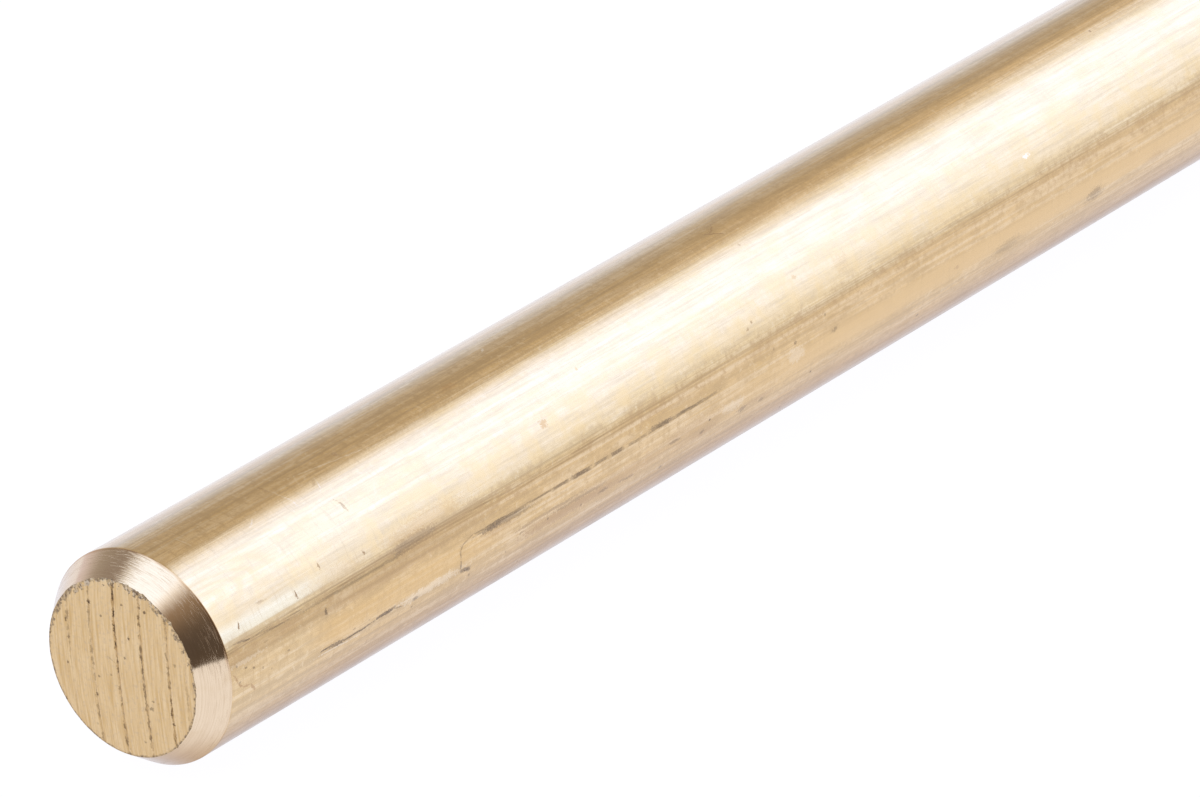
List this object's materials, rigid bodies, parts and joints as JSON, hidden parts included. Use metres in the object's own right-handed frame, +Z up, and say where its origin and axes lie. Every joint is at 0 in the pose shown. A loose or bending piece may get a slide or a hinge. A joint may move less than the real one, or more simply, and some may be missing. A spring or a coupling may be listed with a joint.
{
  "type": "round metal rod",
  "caption": "Solid round brass bar stock, drawn smooth, sawn to length and chamfered at both ends, for turning, clamping or cutting to size.",
  "frame": {"origin": "on the bar's axis, halfway along it, so the bar's underside is 6.35 mm below", "axes": "+X along the bar's axis, +Z up as it lies, +Y across the bar"},
  "size_m": [0.1524, 0.0126, 0.0126],
  "materials": {
    "drawn_brass": "drawn satin barrel with lengthwise draw lines and light handling stains, bright turned chamfers, matt sawn end faces"
  },
  "bodies": {
    "root": {"rod": "drawn_brass"}
  },
  "joints": []
}
